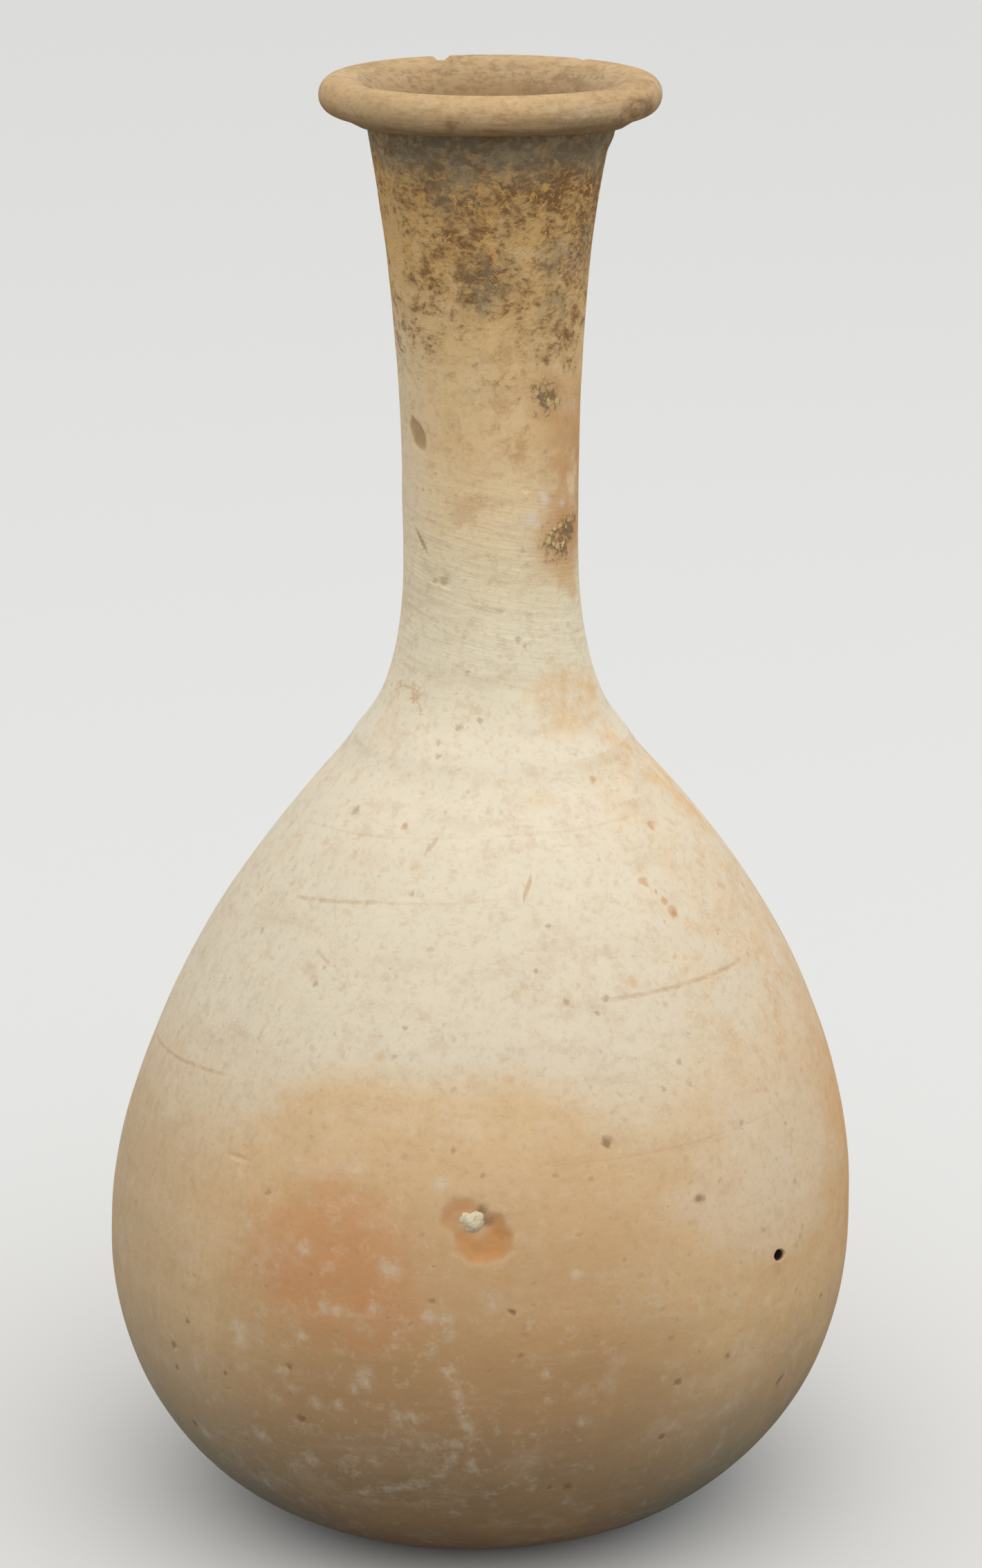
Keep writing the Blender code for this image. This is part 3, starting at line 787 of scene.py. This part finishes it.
NECK_DOTS = [
    (-31.7, 120.6, 1.3), (-38.8, 120.4, 1.0), (17.0, 113.7, 0.9), (21.7, 112.8, 0.7), (-24.8, 101.7, 1.0),
    (-23.3, 100.5, 0.8), (24, 139.5, 0.9), (150, 128, 1.1), (-140, 116, 1.2), (176, 108, 0.9),
    (-6, 104.6, 0.9), (-16, 103.4, 0.9), (-14, 109.8, 0.8),
]
DARK_POOLS = [
    (-20, 161.2, 6.0), (-1, 158.8, 6.5), (9, 157.6, 3.0), (-30, 169.0, 6.0), (29, 166.8, 7.0),
    (21, 166.0, 5.0), (-8, 172.4, 5.0), (-46, 151.4, 6.0), (-33, 149.4, 6.0), (30, 147.4, 5.0),
    (-3, 164.2, 5.0), (12, 163.0, 4.0), (10, 167.2, 5.0), (67, 161, 9.0), (-36, 156.6, 3.6),
    (44, 150.0, 6.0), (78, 166, 6.0), (118, 158, 9.0), (-95, 165, 9.0), (-130, 159, 7.0),
    (170, 163, 10.0),
]
GREY_FILMS = [
    (-18, 167.8, 8.0), (0, 158.0, 7.0), (-6, 155.4, 5.0), (-24, 172.6, 7.0), (-39, 172.4, 7.0),
    (43, 159.6, 6.0), (40, 153.8, 5.0), (56, 172.6, 7.0), (68, 160.0, 7.0), (8, 172.8, 6.0),
    (120, 166, 9.0), (-100, 160, 8.0), (-132, 168, 9.0), (172, 158, 8.0),
]
CLEAN_GAPS = [
    (-37, 164.6, 6.0), (16, 161.2, 4.4), (-15, 149.2, 5.0), (4, 170.8, 4.0), (-62, 160, 8.0),
    (140, 154, 9.0), (-155, 152, 8.0), (-24, 156.0, 5.0), (2, 152.6, 6.0),
]
WARM_FOOT = [
    (29, 106.4, 5.0), (37, 107.4, 5.0), (47, 107.6, 7.0), (56, 106.0, 7.0), (43, 104.2, 6.0),
    (33, 103.6, 4.0), (61, 102.4, 6.0), (67, 100.0, 5.0), (68, 106.0, 5.0),
]
CRUSTS = [(38, 143.0, 6.5), (52, 125.0, 8.0), (64, 126, 6.0), (160, 138, 7.0)]
VEINED = [(-50, 105.6, 6.0), (-43, 104.0, 5.0), (-58, 107.4, 4.0)]
WEDGE = [(60.2, 120.6, 4.6), (66, 118.6, 3.0)]
CHIPS = [(37, 130.4, 2.2), (27, 128.6, 2.0), (54, 129.6, 1.4), (47, 132, 1.2), (33, 127.8, 1.8)]
LIFT_LEVELS = (0.168, 0.174, 0.1758, 0.1778)
LIFT_RADII = (0.0154, 0.0176)
LIFT_FRONT = 0.0010
LIFT_SINK = 0.0002
LIFT_POWER = 1.5


def raise_front(piece):
    """The roll was pushed up a little at the front of the lip, and smeared down the neck at the right."""
    points = points_of(piece)
    radius = np.hypot(points[:, 0] - LEANS[-1], points[:, 1])
    ahead = np.clip(-points[:, 1] / radius, 0, 1) ** LIFT_POWER
    grip = np.interp(points[:, 2], LIFT_LEVELS, (0, 1, 1, 0)) * np.interp(radius, LIFT_RADII, (1, 0))
    points[:, 2] += (ahead * LIFT_FRONT - LIFT_SINK) * grip
    move_to(piece, points)
    press(piece, frame_at(86, 0.1737), across=14, tall=3.4, depth=-0.4, steep=1.4, ragged=0)


neck_end = float(ALONG[-1])
neck_section = run(OUTSIDE, collar_seam, neck_end, spacing=0.0004)
neck_section += reversed(run(INSIDE, collar_seam + SEAM_LAP, neck_end - LIP_LAP, spacing=0.0015))
neck_section.append(neck_section[0])
neck = throw("neck_tube", neck_section, around=260)
raise_front(neck)
pit(neck, NECK_PITS)
refine(neck, -54.0, 138.2, reach=2.8, cuts=2)
hollow_spot = tilted(frame_at(-53.9, 0.1381), -40)
hollow = press(neck, hollow_spot, across=2.3, tall=3.8, depth=0.20, steep=0.9, ragged=0.2)
slit_spot = tilted(frame_at(-51.5, 0.1250), -42)
slit = press(neck, slit_spot, across=0.6, tall=3.4, depth=0.10, steep=1.0, ragged=0.2)
remember(neck, "hollow", np.maximum(hollow, slit * 0.8))

neck_clay = FiredClay("neck_clay", NECK_TONES)
# The clay is tan at the right and mottled tan over the middle, and the left side is lightened with painted
# light.
right_side = neck_clay.sector(15, 60, 100, 150)
tan_right = right_side * neck_clay.band(0.117, 0.125, 0.136, 0.152)
neck_clay.stain(tan_right * neck_clay.mottle.rise(0.25, 0.55) * 0.80, (216, 162, 106))
# Painted light: the left side of the neck is made lighter.
painted_light_left = neck_clay.left(-80, -20) * neck_clay.band(0.101, 0.112, 0.144, 0.160)
neck_clay.stain(painted_light_left * 0.55, (255, 241, 210))
tan_zone = neck_clay.band(0.120, 0.129, 0.148, 0.157) * neck_clay.sector(-50, -5, 110, 150)
neck_clay.stain(tan_zone * neck_clay.place.cloud(230, 6, 0.74).fall(0.36, 0.50) * 0.42, (204, 150, 92))
neck_clay.weather()
# Brush strokes slant round the lower neck.
slant = (neck_clay.height + neck_clay.x * 0.22) * 9
brush = slant.node("ShaderNodeCombineXYZ", {0: neck_clay.x, 1: neck_clay.y, 2: slant})
strokes = brush.cloud(150, 3, 0.6)
brushed = neck_clay.band(0.104, 0.114, 0.124, 0.142)
neck_clay.stain(strokes.fall(0.34, 0.50) * brushed * 0.13, (206, 178, 132))
neck_clay.relief = neck_clay.relief + strokes * brushed * 0.00012
# Old oil and soil thicken towards the lip, in pools and grey films with clean gaps between.
flow = neck_clay.place.stirred(300, 2, (0.0024, 0.0024, 0.0016))
flow = flow.vector("MULTIPLY", flow, (1, 1, 1.4))
under_lip = (neck_clay.height + (neck_clay.mottle - 0.5) * 0.009).rise(0.1680, 0.1728)
reach_down = neck_clay.height.rise(0.137, 0.160)
pools = neck_clay.spots(DARK_POOLS, 1.0) * 0.14 - neck_clay.spots(CLEAN_GAPS, 1.0) * 0.10
soot = (neck_clay.place.cloud(140, 3, 0.5) - 0.5) * 0.5 + (flow.cloud(420, 3, 0.6) - 0.5) * 0.8 + pools
soot = soot + reach_down * 0.24 + neck_clay.height.rise(0.161, 0.168) * 0.06 + under_lip * 0.03 - 0.29
soot = soot + right_side * neck_clay.height.rise(0.154, 0.162) * 0.05
fine_soot = flow.cloud(1050, 4, 0.68) - 0.5
old_oil = (soot + fine_soot * 0.4).rise(-0.32, 0.26) * neck_clay.height.rise(0.120, 0.146)
umber = (soot + fine_soot * 1.4).rise(-0.13, 0.26) * neck_clay.height.rise(0.136, 0.150)
film = neck_clay.spots(GREY_FILMS, 1.0) * neck_clay.place.cloud(380, 4, 0.65).rise(0.34, 0.56)
left_clean = neck_clay.left(-60, -10) * neck_clay.height.fall(0.162, 0.173)
neck_clay.stain(old_oil * (0.78 - left_clean * 0.24), (184, 138, 84))
neck_clay.stain(umber * 0.80, (122, 91, 59))
neck_clay.stain(film * 0.62, (140, 131, 108))
lip_film = neck_clay.place.cloud(330, 5, 0.70).rise(0.36, 0.58)
neck_clay.stain(under_lip * (0.28 + lip_film * 0.45), (162, 150, 124))
neck_clay.stain(under_lip * (soot + fine_soot * 1.2).rise(-0.05, 0.24) * 0.38, (106, 89, 64))
# Golden clay shows through the stain in specks and scribbles.
specks = neck_clay.ragged.cloud(780, 3, 0.62).rise(0.55, 0.63)
scribble = (flow.cloud(330, 3, 0.60) - 0.5).size().fall(0.006, 0.036)
scribble = scribble * neck_clay.place.cloud(400, 3).rise(0.42, 0.56)
golden = neck_clay.band(0.152, 0.162, 0.168, 0.172)
neck_clay.stain(scribble * golden * (0.12 + old_oil * 0.45), (238, 188, 112))
neck_clay.stain(specks * golden * (0.15 + old_oil * 0.60), (242, 192, 112))
neck_clay.relief = neck_clay.relief + (old_oil * 0.00005 + scribble * 0.00004) * reach_down
# Crusts of coarse grains have stuck to the right side.
crust = neck_clay.spots(CRUSTS, 1.0)
halo = crust.rise(0.0, 0.6)
crust = (crust + (neck_clay.place.cloud(900, 4, 0.7) - 0.5) * 2.6).rise(0.50, 1.05) * halo
grains = neck_clay.ragged.cells(900)
neck_clay.stain(halo * 0.35, (212, 158, 98))
neck_clay.stain(crust * 0.80, (126, 106, 76))
neck_clay.stain(crust.rise(0.0, 0.4) * grains.fall(0.22, 0.42) * 0.85, (244, 216, 158))
neck_clay.relief = neck_clay.relief + crust * grains.fall(0.2, 0.5) * 0.00010
# Small marks: warm slip at the foot, veins, a wedge, pale chips, dots and the worn hollow.
warm_foot = neck_clay.spots(WARM_FOOT, 1.0) * neck_clay.place.cloud(260, 6, 0.76).rise(0.38, 0.60)
neck_clay.stain(warm_foot * 0.58, WARM_CREAM)
veins = (neck_clay.place.cloud(300, 3, 0.60) - 0.5).size().fall(0.004, 0.030)
neck_clay.stain(veins * neck_clay.spots(VEINED, 1.0) * 0.55, (208, 158, 100))
neck_clay.stain(neck_clay.spots(WEDGE, 0.5) * 0.55, (230, 184, 128))
chips = neck_clay.spots(CHIPS, 1.0) * neck_clay.place.cloud(500, 4, 0.7).rise(0.40, 0.58)
neck_clay.stain(chips * 0.7, (244, 232, 214))
dots = neck_clay.spots(NECK_DOTS)
neck_clay.stain(dots * 0.40, (172, 130, 86))
neck_clay.sink(dots, 0.00004)
worn = neck_clay.pressed("hollow").rise(0.05, 0.8)
neck_clay.stain(worn * (0.40 + neck_clay.mottle * 0.5), (166, 126, 78))
fit(neck, "neck", neck_clay.fire())

# Rim: the lip, rolled outwards over the finger, with its funnel down into the neck. It is worn smooth,
# notched at the back and chipped a little at the lower right.
LIP_R = 0.0204
LIP_ROLL_R = 0.0022
RIM_TONES = [
    (0.1720, (182, 148, 106)),
    (0.1748, (190, 155, 112)),
    (0.1770, (209, 175, 130)),
    (0.1800, (196, 165, 121)),
]
UNDERCUT = (0.0010, 0.0003)
LIP_X = 0.0014
roll = Vector((LIP_R - LIP_ROLL_R, CREST_Z - LIP_ROLL_R))
throat = Vector(run(INSIDE, neck_end - LIP_LAP, neck_end - LIP_LAP, spacing=1)[0])
crest = Vector((roll.x, CREST_Z))
inner_bend = Vector((throat.x + LIP_ROLL_R / 2, CREST_Z - LIP_ROLL_R / 2))
rim_section = [(NECK_TOP_R, NECK_TOP_Z), (NECK_TOP_R + UNDERCUT[0], NECK_TOP_Z + UNDERCUT[1])]
for angle in np.linspace(-math.pi / 2, math.pi / 2, 34):
    rim_section.append(tuple(roll + LIP_ROLL_R * Vector((math.cos(angle), math.sin(angle)))))
for share in np.linspace(0, 1, 26)[1:]:
    rim_section.append(tuple(crest.lerp(inner_bend, share).lerp(inner_bend.lerp(throat, share), share)))
rim_section.append(rim_section[0])
rim = throw("rolled_lip", rim_section, around=400)
raise_front(rim)


def on_lip(bearing, tilt):
    """The lip at a bearing, tilted up from its outer edge: the point and the ways round, up and out."""
    angle = math.radians(bearing)
    away = Vector((math.sin(angle), -math.cos(angle), 0))
    side = Vector((math.cos(angle), math.sin(angle), 0))
    out = away * math.cos(math.radians(tilt)) + Vector((0, 0, math.sin(math.radians(tilt))))
    point = away * roll.x + Vector((float(lean(CREST_Z)), 0, roll.y)) + out * LIP_ROLL_R
    return point, side, out.cross(side), out


LIP_BRUISES = [
    (56, -10, 4.4), (50, -24, 3.0), (66, -4, 3.0), (-12, -25, 2.4), (-140, -10, 4.0), (120, -20, 4.0),
]
LIP_SMUDGES = [(42, 118, 5.0), (52, 112, 4.0), (34, 124, 4.0), (12, 112, 3.0), (-170, 110, 4.0)]

press(rim, on_lip(-161, 90), across=2.0, tall=5.0, depth=0.55, steep=0.5, ragged=0.1)
press(rim, on_lip(143, 80), across=1.2, tall=2.5, depth=0.25, steep=0.6, ragged=0.1)
press(rim, on_lip(58, -20), across=5.0, tall=2.6, depth=0.30, steep=0.6, ragged=0.2)
rim_clay = FiredClay("rim_clay", RIM_TONES)
# The roll is lighter across the front than round its sides: painted light.
rim_clay.stain(rim_clay.bearing.size().fall(15, 60) * 0.24, (224, 190, 144))
rim_clay.weather()
# Streaks run round the roll, over a rubbed grain.
streaks = rim_clay.place.cloud(60, 6, 0.72, (1, 1, 10))
rim_clay.stain(streaks.fall(0.36, 0.52) * 0.45, (154, 122, 80))
rim_clay.stain(streaks.rise(0.54, 0.70) * 0.35, (214, 184, 138))
rubbed = rim_clay.place.cloud(800, 4, 0.75, (1, 1, 1.6))
rim_clay.stain(rubbed.fall(0.36, 0.52) * 0.32, (152, 120, 82))
rim_clay.stain(rubbed.rise(0.54, 0.68) * 0.30, (222, 190, 142))
rim_clay.relief = rim_clay.relief + streaks * 0.00010 + rubbed * 0.00008
# The underside is darker in mottled brown, the mouth is darkened with painted shade that deepens down the
# funnel, with mottled stain over it, and the roll has bruises and smudges.
across_x = rim_clay.x - LIP_X
spread = rim_clay.x.maths("SQRT", across_x * across_x + rim_clay.y * rim_clay.y)
under = rim_clay.height.fall(0.1752, 0.1770) * spread.rise(0.0165, 0.0180)
rim_clay.stain(under * rim_clay.place.cloud(130, 5, 0.65).rise(0.46, 0.60) * 0.5, (140, 100, 66))
mouth = spread.fall(0.0140, 0.0176)
rim_clay.stain(mouth * 0.50, (163, 141, 109))
rim_clay.stain(mouth * rubbed.fall(0.40, 0.54) * 0.45, (134, 106, 74))
rim_clay.stain(mouth * rim_clay.place.cloud(190, 5, 0.7).rise(0.50, 0.64) * 0.35, (194, 154, 106))
rim_clay.stain(spread.fall(0.0118, 0.0146) * 0.45, (140, 110, 76))
rim_clay.sink(mouth * rubbed, 0.00014)
bruises = rim_clay.blots([(on_lip(*spot)[0], size) for *spot, size in LIP_BRUISES], 1.0)
rim_clay.stain(bruises * rim_clay.place.cloud(420, 5, 0.74).rise(0.38, 0.58) * 0.65, (130, 90, 64))
smudges = rim_clay.blots([(on_lip(*spot)[0], size) for *spot, size in LIP_SMUDGES], 1.0)
rim_clay.stain(smudges * rim_clay.place.cloud(360, 5, 0.74).rise(0.40, 0.56) * 0.7, (104, 98, 74))
fit(rim, "rim", rim_clay.fire())

# Floor, light and camera: a plain pale floor, a soft light overhead and in front with soft light all round,
# and the photograph's view. The floor is dark to the light that bounces off it, so the foot stays in shade.
FLOOR_SEEN = colour(226, 226, 224)
FLOOR_BOUNCE = (0.05, 0.05, 0.05, 1)
bpy.ops.object.select_all(action="DESELECT")
bpy.ops.mesh.primitive_plane_add(size=24)
floor = bpy.context.object
floor.name = "floor"
floor_paint = bpy.data.materials.new("floor_paint")
floor_paint.use_nodes = True
floor_shader = floor_paint.node_tree.nodes["Principled BSDF"]
path = Shade(floor_paint.node_tree).node("ShaderNodeLightPath", output="Is Camera Ray")
glossy = path.node("ShaderNodeLightPath", output="Is Glossy Ray")
clear = path.node("ShaderNodeLightPath", output="Is Transmission Ray")
seen = path.either(glossy).either(clear)
floor_tone = path.node("ShaderNodeMix", {0: seen, 6: FLOOR_BOUNCE, 7: FLOOR_SEEN}, 2, data_type="RGBA")
floor_paint.node_tree.links.new(floor_tone.socket, floor_shader.inputs["Base Color"])
floor_shader.inputs["Roughness"].default_value = 0.9
floor.data.materials.append(floor_paint)

world = bpy.data.worlds.new("studio")
world.use_nodes = True
background = world.node_tree.nodes["Background"].inputs
background["Color"].default_value = (1, 1, 1, 1)
background["Strength"].default_value = 0.90
bpy.context.scene.world = world

key = bpy.data.lights.new("softbox", "AREA")
key.shape = "DISK"
key.size = 1.6
key.energy = 4.3
softbox = bpy.data.objects.new("softbox", key)
softbox.location = (0.25, -0.60, 0.95)
softbox.rotation_euler = (Vector((0, 0, 0.09)) - softbox.location).to_track_quat("-Z", "Y").to_euler()
bpy.context.scene.collection.objects.link(softbox)

AIM = Vector((0.00148, 0, 0.0926))
PITCH = math.radians(16.41)
DISTANCE = 0.5652
lens = bpy.data.cameras.new("camera")
lens.lens = 105
lens.sensor_width = 36
camera = bpy.data.objects.new("camera", lens)
camera.location = AIM + DISTANCE * Vector((0, -math.cos(PITCH), math.sin(PITCH)))
camera.rotation_euler = (math.pi / 2 - PITCH, 0, 0)
bpy.context.scene.collection.objects.link(camera)
bpy.context.scene.camera = camera
bpy.context.scene.view_settings.view_transform = "Standard"
